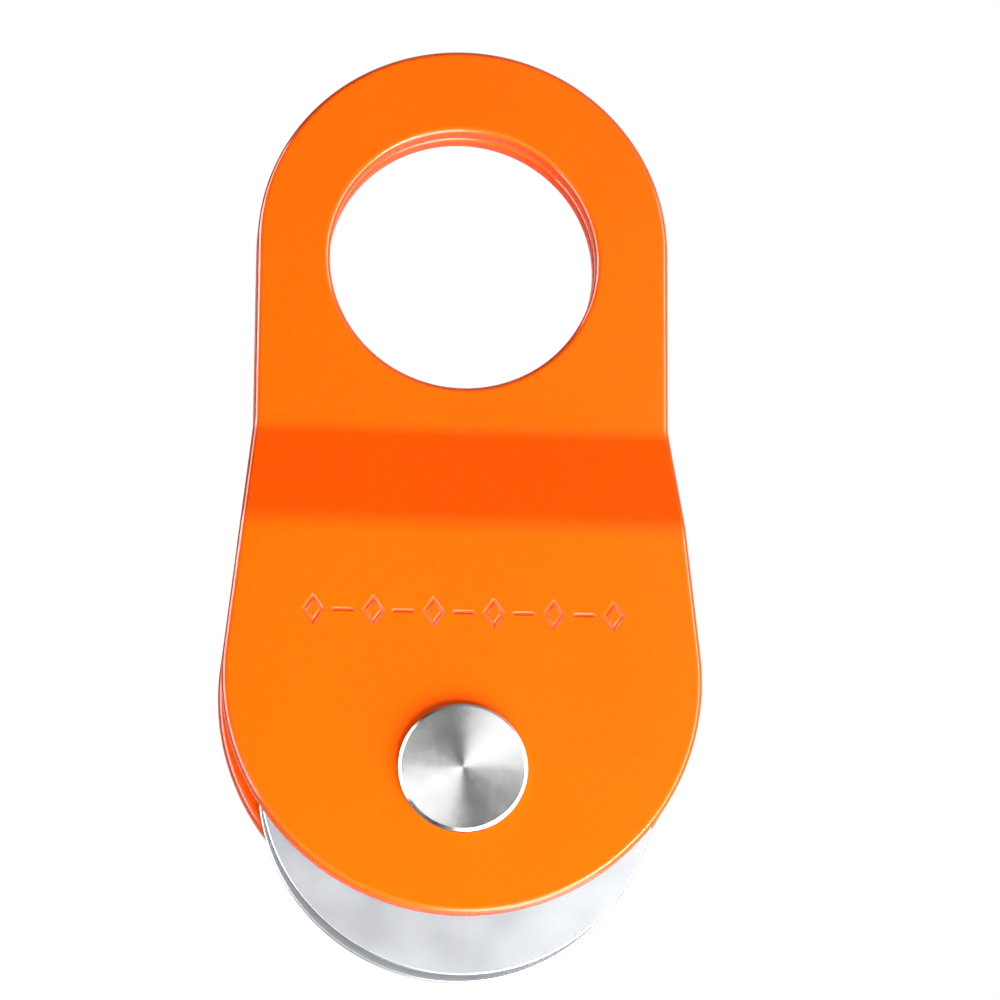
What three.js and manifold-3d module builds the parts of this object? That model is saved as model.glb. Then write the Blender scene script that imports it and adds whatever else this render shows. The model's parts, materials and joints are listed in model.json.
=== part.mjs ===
// A swing-cheek rope block: two joggled plates that meet at a shackle eye and carry a grooved
// sheave between them, on a greased centre pin.
// Millimetres. +Z is up, the front is -Y, and the centre pin lies along Y.
// The origin is the centre of the shackle eye, midway between the two cheeks.

import * as THREE from "three";
import { mergeVertices } from "three/addons/utils/BufferGeometryUtils.js";
import Module from "manifold-3d";

const wasm = await Module();
wasm.setup();

// Clearances
const EYE_GAP = 0.3; // between the cheeks at the eye
const AXIAL_GAP = 0.3; // between neighbours along the pin
const RUN_GAP = 0.2; // radial, where a piece turns
const SEAT_GAP = 0.1; // radial, where a piece is seated

// Cheek plates
const PLATE = 6; // plate thickness
const CHEEK_SPACE = 20; // between the cheeks' inner faces, at the sheave
const EYE_HOLE_R = 32.7;
const EYE_WALL = 17.8; // plate beside the eye's hole
const EYE_RISE = 3.5; // the eye's outline is centred this far above its hole
const EYE_LAND = 9.3; // flat plate between the eye's hole and the upper bend
const JOGGLE_ANGLE = THREE.MathUtils.degToRad(21); // lean of the ramp between the bends
const BEND_R = 10; // inside radius of both bends
const ROPE_ROOM = 9.7; // flat plate between the lower bend and the level of the sheave's top
const LOWER_R = 57.4; // round outline of the lower end
const LOWER_RISE = 23; // the lower outline is centred this far above the pin

// Stamped row of lozenges and dashes on the front cheek
const STAMP_RISE = 38.2; // from the pin axis up to the row
const STAMP_DEPTH = 0.5;
const STAMP_STROKE = 1.1;
const STAMP_HEIGHT = 7.4;
const STAMP_WIDTH = 5.4; // width of one mark
const STAMP_PITCH = 7.2;
const STAMP_MARKS = 11;

// Centre pin
const PIN_R = 10;
const HEAD_LEDGE = 5.4; // how far the head reaches past the shank
const HEAD_THICKNESS = 2.4;
const HEAD_CHAMFER = 0.7;
const SPIGOT_STEP = 2; // how far the turned rear end is set in from the shank
const CLIP_GROOVE_DEPTH = 0.4;
const CLIP_GROOVE_WIDTH = 1.3;
const PIN_END = 2; // pin left behind the clip groove
const PIN_END_CHAMFER = 0.6;
const GREASE_DRILL_R = 2.5;
const CROSS_DRILL_R = 2;

// Sheave
const SHEAVE_R = 47.5;
const RIM_WIDTH = 12.6;
const GROOVE_DEPTH = 10;
const GROOVE_R = 4.6; // round bottom of the rope groove
const LIP = 1.2; // thickness of each lip at its crest
const LIP_CHAMFER = 0.4;
const HUB_WALL = 9.3; // hub outside the bush

// Bush, washers and clip
const BUSH_WALL = 3;
const BUSH_GROOVE_WIDTH = 4; // grease groove inside the bush
const BUSH_GROOVE_DEPTH = 0.8;
const THRUST_WASHER = 1.2; // thickness
const THRUST_WASHER_INSET = 1; // how far the thrust washers stay inside the hub's edge
const END_WASHER = 2; // thickness
const END_WASHER_LEDGE = 5; // how far the end washer reaches past the cheek's pin hole
const CLIP = 1; // thickness
const CLIP_BAND = 2; // radial width
const CLIP_OPENING = THREE.MathUtils.degToRad(44); // angle between the two lugs
const LUG_R = 1.8;
const LUG_HOLE_R = 0.8;

// Grease nipple
const THREAD_R = 3;
const THREAD_LENGTH = 5.5;
const HEX_ACROSS_FLATS = 7;
const HEX_HEIGHT = 3;
const NIPPLE_BORE_R = 1.6;
const NECK_WALL = 0.7;
const NECK_HEIGHT = 1.4;
const NIPPLE_RIM = 0.9; // how far the head stands out from the neck
const NIPPLE_HEAD_HEIGHT = 5;
const NIPPLE_LIP = 0.8; // wall at the mouth and at the foot
const BALL_GAP = 0.4; // between the ball and the bore
const WIRE_R = 0.18;
const SPRING_TURNS = 6;

// Roundness of the curves
const OUTLINE_STEPS = 20; // half the steps in each arc of a flat outline
const SHEAVE_STEPS = 72;
const PIN_STEPS = 48;
const NIPPLE_STEPS = 24;

// Joggle: the shift of each cheek, the length of its ramp and the height that it takes up
const BEND_MIDDLE_R = BEND_R + PLATE / 2;
const JOGGLE_SHIFT = (CHEEK_SPACE - EYE_GAP) / 2;
const BEND_SHIFT = 2 * BEND_MIDDLE_R * (1 - Math.cos(JOGGLE_ANGLE));
const RAMP = (JOGGLE_SHIFT - BEND_SHIFT) / Math.sin(JOGGLE_ANGLE);
const JOGGLE_HEIGHT = 2 * BEND_MIDDLE_R * Math.sin(JOGGLE_ANGLE) + RAMP * Math.cos(JOGGLE_ANGLE);

// Heights, measured down from the eye's centre
const JOGGLE_TOP = EYE_HOLE_R + EYE_LAND;
const JOGGLE_FOOT = JOGGLE_TOP + JOGGLE_HEIGHT;
const PIN_DROP = JOGGLE_FOOT + ROPE_ROOM + SHEAVE_R;

// Radii that follow from what they fit
const EYE_OUTER_R = EYE_HOLE_R + EYE_WALL;
const HEAD_R = PIN_R + HEAD_LEDGE;
const SPIGOT_R = PIN_R - SPIGOT_STEP;
const BUSH_OUTER_R = PIN_R + RUN_GAP + BUSH_WALL;
const HUB_R = BUSH_OUTER_R + HUB_WALL;
const THRUST_WASHER_R = HUB_R - THRUST_WASHER_INSET;
const END_WASHER_R = PIN_R + END_WASHER_LEDGE;
const NECK_R = NIPPLE_BORE_R + NECK_WALL;
const NIPPLE_HEAD_R = NECK_R + NIPPLE_RIM;
const BALL_R = NIPPLE_BORE_R - BALL_GAP;
const SPRING_R = BALL_R - WIRE_R; // at the middle of the wire
const NIPPLE_MOUTH_R = (3 / 4) * BALL_R;
const NIPPLE_TIP_R = NIPPLE_MOUTH_R + 1;

// Heights on the nipple, measured from its seat
const NIPPLE_HEIGHT = HEX_HEIGHT + NECK_HEIGHT + NIPPLE_HEAD_HEIGHT;
const BALL_Y = NIPPLE_HEIGHT - NIPPLE_LIP - BALL_R;

// Places along the pin, measured from the middle of the block
const CHEEK_OUTER = CHEEK_SPACE / 2 + PLATE;
const HUB_WIDTH = CHEEK_SPACE - 2 * THRUST_WASHER - 4 * AXIAL_GAP;
const THRUST_WASHER_Y = HUB_WIDTH / 2 + AXIAL_GAP;
const HEAD_BACK_Y = -CHEEK_OUTER - AXIAL_GAP;
const END_WASHER_Y = CHEEK_OUTER + AXIAL_GAP;
const CLIP_Y = END_WASHER_Y + END_WASHER + AXIAL_GAP;
const CLIP_GROOVE_Y = CLIP_Y - (CLIP_GROOVE_WIDTH - CLIP) / 2;
const PIN_END_Y = CLIP_GROOVE_Y + CLIP_GROOVE_WIDTH + PIN_END;

const paint = new THREE.MeshStandardMaterial({ color: 0xff6a06, roughness: 0.35, metalness: 0 });
const satinSteel = new THREE.MeshStandardMaterial({ color: 0xc4c6ca, roughness: 0.4, metalness: 1 });
const turnedSteel = new THREE.MeshStandardMaterial({ color: 0xb4b4b4, roughness: 0.3, metalness: 1 });
const bronze = new THREE.MeshStandardMaterial({ color: 0xb08040, roughness: 0.4, metalness: 1 });
const zinc = new THREE.MeshStandardMaterial({ color: 0xbfc2c0, roughness: 0.4, metalness: 1 });
const springSteel = new THREE.MeshStandardMaterial({ color: 0x3c3c40, roughness: 0.45, metalness: 1 });

// A closed geometry as a solid that can be joined and cut.
function solid(geometry) {
  const bare = geometry.clone();
  bare.deleteAttribute("normal");
  bare.deleteAttribute("uv");
  const merged = mergeVertices(bare, 1e-3);
  return new wasm.Manifold(
    new wasm.Mesh({
      numProp: 3,
      vertProperties: merged.attributes.position.array,
      triVerts: new Uint32Array(merged.index.array),
    }),
  );
}

// A solid back as a geometry.
function geometryOf(body) {
  const { vertProperties, triVerts } = body.getMesh();
  const geometry = new THREE.BufferGeometry();
  geometry.setAttribute("position", new THREE.BufferAttribute(vertProperties, 3));
  geometry.setIndex(new THREE.BufferAttribute(triVerts, 1));
  geometry.computeVertexNormals();
  return geometry;
}

// A named piece. y is its place along the pin.
function piece(name, geometry, material, y = 0) {
  const mesh = new THREE.Mesh(geometry, material);
  mesh.name = name;
  mesh.position.y = y;
  return mesh;
}

// A flat outline, drawn in X and Z, as a plate that fills y to y + thickness.
function plateOf(outline, y, thickness, steps = OUTLINE_STEPS) {
  const options = { depth: thickness, bevelEnabled: false, curveSegments: steps };
  const plate = new THREE.ExtrudeGeometry(outline, options);
  plate.rotateX(Math.PI / 2);
  plate.translate(0, y + thickness, 0);
  return plate;
}

// A round piece along Y. Each point of its profile is [radius, y], anticlockwise.
function turned(profile, steps = PIN_STEPS) {
  const points = profile.map(([r, y]) => new THREE.Vector2(r, y));
  return new THREE.LatheGeometry(points, steps);
}

// A flat ring that fills 0 to thickness along Y.
function ring(innerR, outerR, thickness) {
  return turned([
    [innerR, 0],
    [outerR, 0],
    [outerR, thickness],
    [innerR, thickness],
    [innerR, 0],
  ]);
}

function circle(x, z, r) {
  const path = new THREE.Shape();
  path.absarc(x, z, r, 0, 2 * Math.PI, false);
  return path;
}

// A round hole with two flats, left and right of the pin axis.
function doubleFlatHole(z, r, flat) {
  const corner = Math.acos(flat / r);
  const path = new THREE.Path();
  path.absarc(0, z, r, corner, Math.PI - corner, false);
  path.absarc(0, z, r, Math.PI + corner, 2 * Math.PI - corner, false);
  path.closePath();
  return path;
}

// The cheek's outline seen from the front: round eye, straight sides down to the joggle, then a
// taper that runs tangent into the larger round of the lower end.
function cheekOutline() {
  const lowerZ = LOWER_RISE - PIN_DROP;
  const shoulderZ = -JOGGLE_TOP;
  const shoulderRise = shoulderZ - lowerZ;
  const reach = Math.hypot(EYE_OUTER_R, shoulderRise);
  const tangent = Math.atan2(shoulderRise, EYE_OUTER_R) - Math.acos(LOWER_R / reach);
  const outline = new THREE.Shape();
  outline.absarc(0, EYE_RISE, EYE_OUTER_R, 0, Math.PI, false);
  outline.lineTo(-EYE_OUTER_R, shoulderZ);
  outline.absarc(0, lowerZ, LOWER_R, Math.PI - tangent, 2 * Math.PI + tangent, false);
  outline.lineTo(EYE_OUTER_R, shoulderZ);
  outline.closePath();
  outline.holes.push(circle(0, 0, EYE_HOLE_R));
  return outline;
}

// The cheek's section seen from the side: a strip of constant thickness with two equal bends.
// side is -1 for the front cheek and 1 for the rear one.
function cheekSection(side) {
  const top = EYE_RISE + EYE_OUTER_R + PLATE;
  const bottom = LOWER_RISE - PIN_DROP - LOWER_R - PLATE;
  const eyeInner = EYE_GAP / 2;
  const lowerInner = CHEEK_SPACE / 2;
  const outsideR = BEND_R + PLATE;
  const upperZ = -JOGGLE_TOP;
  const lowerZ = -JOGGLE_FOOT;
  const upperY = eyeInner + outsideR;
  const lowerY = lowerInner - BEND_R;
  const strip = new THREE.Shape();
  strip.moveTo(eyeInner, top);
  strip.lineTo(eyeInner + PLATE, top);
  strip.absarc(upperY, upperZ, BEND_R, Math.PI, Math.PI + JOGGLE_ANGLE, false);
  strip.absarc(lowerY, lowerZ, outsideR, JOGGLE_ANGLE, 0, true);
  strip.lineTo(lowerInner + PLATE, bottom);
  strip.lineTo(lowerInner, bottom);
  strip.absarc(lowerY, lowerZ, BEND_R, 0, JOGGLE_ANGLE, false);
  strip.absarc(upperY, upperZ, outsideR, Math.PI + JOGGLE_ANGLE, Math.PI, true);
  strip.closePath();
  const bendSteps = 2;
  const points = strip.getPoints(bendSteps).map((p) => new THREE.Vector2(side * p.x, p.y));
  const width = 2 * Math.max(EYE_OUTER_R, LOWER_R) + 2 * PLATE;
  const options = { depth: width, bevelEnabled: false };
  const section = new THREE.ExtrudeGeometry(new THREE.Shape(points), options);
  section.translate(0, 0, -width / 2);
  const alongY = new THREE.Vector3(0, 1, 0);
  const alongZ = new THREE.Vector3(0, 0, 1);
  const alongX = new THREE.Vector3(1, 0, 0);
  section.applyMatrix4(new THREE.Matrix4().makeBasis(alongY, alongZ, alongX));
  return section;
}

function cheek(side, pinHole) {
  const outline = cheekOutline();
  outline.holes.push(pinHole);
  const blank = plateOf(outline, -CHEEK_OUTER - PLATE, 2 * (CHEEK_OUTER + PLATE));
  return solid(cheekSection(side)).intersect(solid(blank));
}

// One mark of the stamped row: even ones are hollow lozenges, odd ones are dashes.
function stampMark(index, x, z) {
  const halfWidth = STAMP_WIDTH / 2;
  const halfHeight = STAMP_HEIGHT / 2;
  const mark = new THREE.Shape();
  if (index % 2 === 1) {
    mark.moveTo(x - halfWidth, z - STAMP_STROKE / 2);
    mark.lineTo(x + halfWidth, z - STAMP_STROKE / 2);
    mark.lineTo(x + halfWidth, z + STAMP_STROKE / 2);
    mark.lineTo(x - halfWidth, z + STAMP_STROKE / 2);
    mark.closePath();
    return mark;
  }
  const inset = (STAMP_STROKE * Math.hypot(halfWidth, halfHeight)) / (halfWidth * halfHeight);
  const lozenge = (share) => [
    new THREE.Vector2(x + halfWidth * share, z),
    new THREE.Vector2(x, z + halfHeight * share),
    new THREE.Vector2(x - halfWidth * share, z),
    new THREE.Vector2(x, z - halfHeight * share),
  ];
  mark.setFromPoints(lozenge(1));
  mark.holes.push(new THREE.Path(lozenge(1 - inset)));
  return mark;
}

function frontCheek() {
  let body = cheek(-1, circle(0, -PIN_DROP, PIN_R + RUN_GAP));
  const firstX = (-STAMP_PITCH * (STAMP_MARKS - 1)) / 2;
  for (let i = 0; i < STAMP_MARKS; i += 1) {
    const mark = stampMark(i, firstX + i * STAMP_PITCH, STAMP_RISE - PIN_DROP);
    body = body.subtract(solid(plateOf(mark, -CHEEK_OUTER - STAMP_DEPTH, 2 * STAMP_DEPTH)));
  }
  return geometryOf(body);
}

function rearCheek() {
  const hole = doubleFlatHole(-PIN_DROP, PIN_R + SEAT_GAP, SPIGOT_R + SEAT_GAP);
  return geometryOf(cheek(1, hole));
}

// The pin has a plain disc head, two flats where the rear cheek grips it, a turned end as wide as
// the flats with a clip groove, and a grease drilling that a cross drilling opens halfway along.
function centrePin() {
  const headFrontY = HEAD_BACK_Y - HEAD_THICKNESS;
  const clipRootR = SPIGOT_R - CLIP_GROOVE_DEPTH;
  const threadHoleR = THREAD_R + SEAT_GAP;
  const threadHoleY = PIN_END_Y - THREAD_LENGTH - AXIAL_GAP;
  const spigotY = CHEEK_OUTER;
  const blank = turned([
    [0, headFrontY],
    [HEAD_R - HEAD_CHAMFER, headFrontY],
    [HEAD_R, headFrontY + HEAD_CHAMFER],
    [HEAD_R, HEAD_BACK_Y],
    [PIN_R, HEAD_BACK_Y],
    [PIN_R, spigotY],
    [SPIGOT_R, spigotY],
    [SPIGOT_R, CLIP_GROOVE_Y],
    [clipRootR, CLIP_GROOVE_Y],
    [clipRootR, CLIP_GROOVE_Y + CLIP_GROOVE_WIDTH],
    [SPIGOT_R, CLIP_GROOVE_Y + CLIP_GROOVE_WIDTH],
    [SPIGOT_R, PIN_END_Y - PIN_END_CHAMFER],
    [SPIGOT_R - PIN_END_CHAMFER, PIN_END_Y],
    [threadHoleR, PIN_END_Y],
    [threadHoleR, threadHoleY],
    [GREASE_DRILL_R, threadHoleY],
    [GREASE_DRILL_R, -CROSS_DRILL_R],
    [0, -CROSS_DRILL_R - GREASE_DRILL_R / 2],
  ]);
  let body = solid(blank);
  const flatsLength = spigotY - CHEEK_SPACE / 2 + AXIAL_GAP;
  for (const side of [-1, 1]) {
    const flat = new THREE.BoxGeometry(PIN_R, flatsLength, 2 * PIN_R + 2);
    flat.translate(side * (SPIGOT_R + PIN_R / 2), spigotY - flatsLength / 2, 0);
    body = body.subtract(solid(flat));
  }
  const crossDrill = new THREE.CylinderGeometry(CROSS_DRILL_R, CROSS_DRILL_R, 2 * PIN_R + 2, 16);
  crossDrill.rotateX(Math.PI / 2);
  return geometryOf(body.subtract(solid(crossDrill)));
}

// The sheave's rope groove has a round bottom, and flanks that lean out to the lips.
function sheave() {
  const boreR = BUSH_OUTER_R + SEAT_GAP;
  const halfHub = HUB_WIDTH / 2;
  const halfRim = RIM_WIDTH / 2;
  const mouth = halfRim - LIP;
  const centreR = SHEAVE_R - GROOVE_DEPTH + GROOVE_R;
  const crestRise = SHEAVE_R - centreR;
  const reach = Math.hypot(mouth, crestRise);
  const flank = Math.atan2(crestRise, mouth) - Math.acos(GROOVE_R / reach);
  const bottomSteps = 12;
  const groove = [];
  for (let i = 0; i <= bottomSteps; i += 1) {
    const angle = flank - (i / bottomSteps) * (Math.PI + 2 * flank);
    groove.push([centreR + GROOVE_R * Math.sin(angle), -GROOVE_R * Math.cos(angle)]);
  }
  return turned(
    [
      [boreR, -halfHub],
      [HUB_R, -halfHub],
      [HUB_R, -halfRim],
      [SHEAVE_R - LIP_CHAMFER, -halfRim],
      [SHEAVE_R, -halfRim + LIP_CHAMFER],
      [SHEAVE_R, -mouth],
      ...groove,
      [SHEAVE_R, mouth],
      [SHEAVE_R, halfRim - LIP_CHAMFER],
      [SHEAVE_R - LIP_CHAMFER, halfRim],
      [HUB_R, halfRim],
      [HUB_R, halfHub],
      [boreR, halfHub],
      [boreR, -halfHub],
    ],
    SHEAVE_STEPS,
  );
}

// The bush has a ring groove inside, which spreads the grease from the pin's cross drilling.
function bush() {
  const boreR = PIN_R + RUN_GAP;
  const half = HUB_WIDTH / 2;
  const halfGroove = BUSH_GROOVE_WIDTH / 2;
  return turned([
    [boreR, -half],
    [BUSH_OUTER_R, -half],
    [BUSH_OUTER_R, half],
    [boreR, half],
    [boreR, halfGroove],
    [boreR + BUSH_GROOVE_DEPTH, halfGroove],
    [boreR + BUSH_GROOVE_DEPTH, -halfGroove],
    [boreR, -halfGroove],
    [boreR, -half],
  ]);
}

// An open ring with two drilled lugs beside the opening, which faces down.
function circlip() {
  const innerR = SPIGOT_R - CLIP_GROOVE_DEPTH + SEAT_GAP;
  const middleR = innerR + CLIP_BAND / 2;
  const start = -Math.PI / 2 + CLIP_OPENING / 2;
  const end = (3 * Math.PI) / 2 - CLIP_OPENING / 2;
  const band = new THREE.Shape();
  band.absarc(0, 0, innerR + CLIP_BAND, start, end, false);
  band.absarc(0, 0, innerR, end, start, true);
  band.closePath();
  let body = solid(plateOf(band, 0, CLIP));
  const lugR = middleR + LUG_R - CLIP_BAND / 2;
  for (const angle of [start, end]) {
    const x = lugR * Math.cos(angle);
    const z = lugR * Math.sin(angle);
    body = body.add(solid(plateOf(circle(x, z, LUG_R), 0, CLIP, 8)));
    body = body.subtract(solid(plateOf(circle(x, z, LUG_HOLE_R), -CLIP, 3 * CLIP, 6)));
  }
  return geometryOf(body);
}

// The nipple stands on y = 0. Its thread goes down into the pin, and its bore holds the ball.
function nippleBody() {
  const footY = -THREAD_LENGTH;
  const headY = HEX_HEIGHT + NECK_HEIGHT;
  const stem = turned(
    [
      [NIPPLE_MOUTH_R, footY],
      [THREAD_R, footY],
      [THREAD_R, HEX_HEIGHT / 2],
      [NECK_R, HEX_HEIGHT / 2],
      [NECK_R, headY],
      [NIPPLE_HEAD_R, headY + NIPPLE_RIM],
      [NIPPLE_HEAD_R, headY + 2 * NIPPLE_RIM],
      [NIPPLE_TIP_R, NIPPLE_HEIGHT],
      [NIPPLE_MOUTH_R, NIPPLE_HEIGHT],
      [NIPPLE_MOUTH_R, NIPPLE_HEIGHT - NIPPLE_LIP],
      [NIPPLE_BORE_R, NIPPLE_HEIGHT - NIPPLE_LIP],
      [NIPPLE_BORE_R, footY + NIPPLE_LIP],
      [NIPPLE_MOUTH_R, footY + NIPPLE_LIP],
      [NIPPLE_MOUTH_R, footY],
    ],
    NIPPLE_STEPS,
  );
  const cornerR = HEX_ACROSS_FLATS / Math.sqrt(3);
  const hexagon = new THREE.Shape();
  for (let i = 0; i < 6; i += 1) {
    const angle = (i * Math.PI) / 3;
    hexagon[i ? "lineTo" : "moveTo"](cornerR * Math.cos(angle), cornerR * Math.sin(angle));
  }
  hexagon.closePath();
  hexagon.holes.push(circle(0, 0, (NIPPLE_BORE_R + NECK_R) / 2));
  return geometryOf(solid(stem).add(solid(plateOf(hexagon, 0, HEX_HEIGHT))));
}

// A wire coil along Y.
class Coil extends THREE.Curve {
  constructor(fromY, toY) {
    super();
    this.fromY = fromY;
    this.toY = toY;
  }
  getPoint(t, target = new THREE.Vector3()) {
    const angle = 2 * Math.PI * SPRING_TURNS * t;
    const y = THREE.MathUtils.lerp(this.fromY, this.toY, t);
    return target.set(SPRING_R * Math.cos(angle), y, SPRING_R * Math.sin(angle));
  }
}

function nippleSpring() {
  const fromY = -THREAD_LENGTH + NIPPLE_LIP + AXIAL_GAP / 2 + WIRE_R;
  const toY = BALL_Y - BALL_R - AXIAL_GAP / 2 - WIRE_R;
  const options = {
    extrudePath: new Coil(fromY, toY),
    steps: SPRING_TURNS * 12,
    bevelEnabled: false,
    curveSegments: 3,
  };
  return new THREE.ExtrudeGeometry(circle(0, 0, WIRE_R), options);
}

const block = new THREE.Group();
block.add(piece("front_cheek", frontCheek(), paint));
block.add(piece("rear_cheek", rearCheek(), paint));

const onPin = new THREE.Group();
onPin.position.z = -PIN_DROP;
block.add(onPin);
onPin.add(piece("centre_pin", centrePin(), turnedSteel));
onPin.add(piece("sheave", sheave(), satinSteel));
onPin.add(piece("sheave_bush", bush(), bronze));
const thrustWasher = ring(PIN_R + RUN_GAP, THRUST_WASHER_R, THRUST_WASHER);
onPin.add(piece("front_thrust_washer", thrustWasher, bronze, -THRUST_WASHER_Y - THRUST_WASHER));
onPin.add(piece("rear_thrust_washer", thrustWasher, bronze, THRUST_WASHER_Y));
const endWasher = ring(SPIGOT_R + RUN_GAP, END_WASHER_R, END_WASHER);
onPin.add(piece("end_washer", endWasher, zinc, END_WASHER_Y));
onPin.add(piece("circlip", circlip(), springSteel, CLIP_Y));

const nipple = new THREE.Group();
nipple.position.y = PIN_END_Y + AXIAL_GAP;
onPin.add(nipple);
nipple.add(piece("nipple_body", nippleBody(), zinc));
nipple.add(piece("nipple_ball", new THREE.SphereGeometry(BALL_R, 16, 10), satinSteel, BALL_Y));
nipple.add(piece("nipple_spring", nippleSpring(), springSteel));

export default block;
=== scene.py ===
import json
import math

import bmesh
import bpy
from mathutils import Matrix, Vector

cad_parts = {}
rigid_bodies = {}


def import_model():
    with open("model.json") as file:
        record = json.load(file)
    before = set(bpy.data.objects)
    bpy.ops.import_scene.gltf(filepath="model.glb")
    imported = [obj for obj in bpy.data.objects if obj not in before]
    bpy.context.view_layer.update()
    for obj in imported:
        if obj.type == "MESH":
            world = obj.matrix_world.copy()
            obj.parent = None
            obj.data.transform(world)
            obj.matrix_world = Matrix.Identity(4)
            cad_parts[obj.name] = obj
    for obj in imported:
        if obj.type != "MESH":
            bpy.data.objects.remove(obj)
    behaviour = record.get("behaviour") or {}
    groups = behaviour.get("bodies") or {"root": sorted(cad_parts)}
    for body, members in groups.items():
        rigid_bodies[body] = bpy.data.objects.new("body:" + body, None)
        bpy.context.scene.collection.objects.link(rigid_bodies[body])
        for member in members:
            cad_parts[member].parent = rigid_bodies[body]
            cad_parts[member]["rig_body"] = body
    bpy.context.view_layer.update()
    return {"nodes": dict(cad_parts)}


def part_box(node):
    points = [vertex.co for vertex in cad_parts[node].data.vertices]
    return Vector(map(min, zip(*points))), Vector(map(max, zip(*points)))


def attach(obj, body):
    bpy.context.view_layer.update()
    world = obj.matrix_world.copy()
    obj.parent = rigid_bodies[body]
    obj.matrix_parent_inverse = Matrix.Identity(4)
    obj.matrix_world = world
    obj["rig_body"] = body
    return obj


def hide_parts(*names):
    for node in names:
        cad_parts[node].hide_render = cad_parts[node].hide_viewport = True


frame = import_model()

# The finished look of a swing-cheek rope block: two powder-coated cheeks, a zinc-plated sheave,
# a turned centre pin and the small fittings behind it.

MM = 0.001
TURN = 2 * math.pi
ALONG_PIN = Vector((0, 1, 0))

# Boxes of the frame's nodes, in metres
FRONT_LOW, FRONT_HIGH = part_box("front_cheek")
REAR_LOW, REAR_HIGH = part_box("rear_cheek")
SHEAVE_LOW, SHEAVE_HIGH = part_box("sheave")
BUSH_LOW, BUSH_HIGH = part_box("sheave_bush")
PIN_LOW, PIN_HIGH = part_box("centre_pin")
END_WASHER_LOW, END_WASHER_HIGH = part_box("end_washer")
CLIP_LOW, CLIP_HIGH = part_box("circlip")
NIPPLE_LOW, NIPPLE_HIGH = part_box("nipple_body")
BALL_LOW, BALL_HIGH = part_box("nipple_ball")
SPRING_LOW, SPRING_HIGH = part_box("nipple_spring")
PIN_Z = (SHEAVE_LOW.z + SHEAVE_HIGH.z) / 2
PIN_CENTRE = Vector((0, 0, PIN_Z))

# Cheek plates
PLATE = 6 * MM
EYE_HOLE_R = 32.7 * MM
EYE_OUTER_R = 50.5 * MM
EYE_Z = REAR_HIGH.z - EYE_OUTER_R
LOWER_R = REAR_HIGH.x
LOWER_Z = REAR_LOW.z + LOWER_R
EYE_Y = REAR_LOW.y + PLATE / 2  # the middle of the plate, at the eye
LOWER_Y = REAR_HIGH.y - PLATE / 2  # the middle of the plate, beside the sheave
JOGGLE_TOP = -42 * MM
JOGGLE_ANGLE = math.radians(21)
BEND_R = 13 * MM  # at the middle of the plate
BEND_CUTS = 8
EDGE_ROUND = 1.6 * MM
PIN_HOLE_ROUND = 0.4 * MM

# How many straight edges stand for each arc of a cheek's outline
EYE_ARC_STEPS = 48
LOWER_ARC_STEPS = 56
EYE_HOLE_STEPS = 80
PIN_HOLE_STEPS = 36

# Stamped row of lozenges and dashes
STAMP_Z = PIN_Z + 38.2 * MM
STAMP_WIDTH = 5.4 * MM
STAMP_HEIGHT = 7.4 * MM
STAMP_PITCH = 7.2 * MM
STAMP_MARKS = 11
STAMP_R = 0.62 * MM
STAMP_DEPTH = 0.5 * MM

# Pin, sheave and fittings
PIN_R = 10 * MM
SPIGOT_R = 8 * MM
RUN_GAP = 0.2 * MM
SEAT_GAP = 0.1 * MM
AXIAL_GAP = 0.3 * MM
PLAIN_HOLE_R = PIN_R + RUN_GAP
FLATS_HOLE_R = PIN_R + SEAT_GAP
HUB_R = 22.5 * MM
RIM_HALF = 6.3 * MM
LIP = 1.2 * MM
GROOVE_DEPTH = 10 * MM
GROOVE_HALF = 4.75 * MM
GROOVE_ROUND = 4.6 * MM

SHARP = math.radians(38)  # shading breaks at edges sharper than this
SQUARE = math.radians(60)  # edges sharper than this are rounded off
WELD = 1e-7


# ---------------------------------------------------------------- shaping

def link(name, mesh):
    """A new object at the origin that shows mesh."""
    piece = bpy.data.objects.new(name, mesh)
    bpy.context.scene.collection.objects.link(piece)
    return piece


def mesh_of(bm, name):
    mesh = bpy.data.meshes.new(name)
    bm.to_mesh(mesh)
    bm.free()
    return mesh


def point(bm, x, y, z):
    return bmesh.ops.create_vert(bm, co=(x, y, z))["vert"][0]


def line(bm, start, x, z):
    """Draws a straight edge in the plane y = 0."""
    end = bmesh.ops.extrude_vert_indiv(bm, verts=[start])["verts"][0]
    end.co = (x, 0, z)
    return end


def arc(bm, start, centre_z, angle, steps):
    """Draws an arc in the plane y = 0 about a centre on x = 0. A positive angle turns +Z to +X."""
    centre = (0, 0, centre_z)
    swept = bmesh.ops.spin(
        bm, geom=[start], cent=centre, axis=ALONG_PIN, angle=angle, steps=steps
    )
    return swept["geom_last"][0]


def round_edges(bm, edges, radius, segments=4):
    bmesh.ops.bevel(
        bm,
        geom=edges,
        offset=radius,
        offset_type="OFFSET",
        segments=segments,
        profile=0.5,
        affect="EDGES",
        material=-1,
        clamp_overlap=True,
    )


def sharp_edges(bm, angle):
    return [e for e in bm.edges if e.is_manifold and e.calc_face_angle() > angle]


def face_out(bm):
    bmesh.ops.remove_doubles(bm, verts=bm.verts, dist=WELD)
    bmesh.ops.recalc_face_normals(bm, faces=bm.faces)


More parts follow.
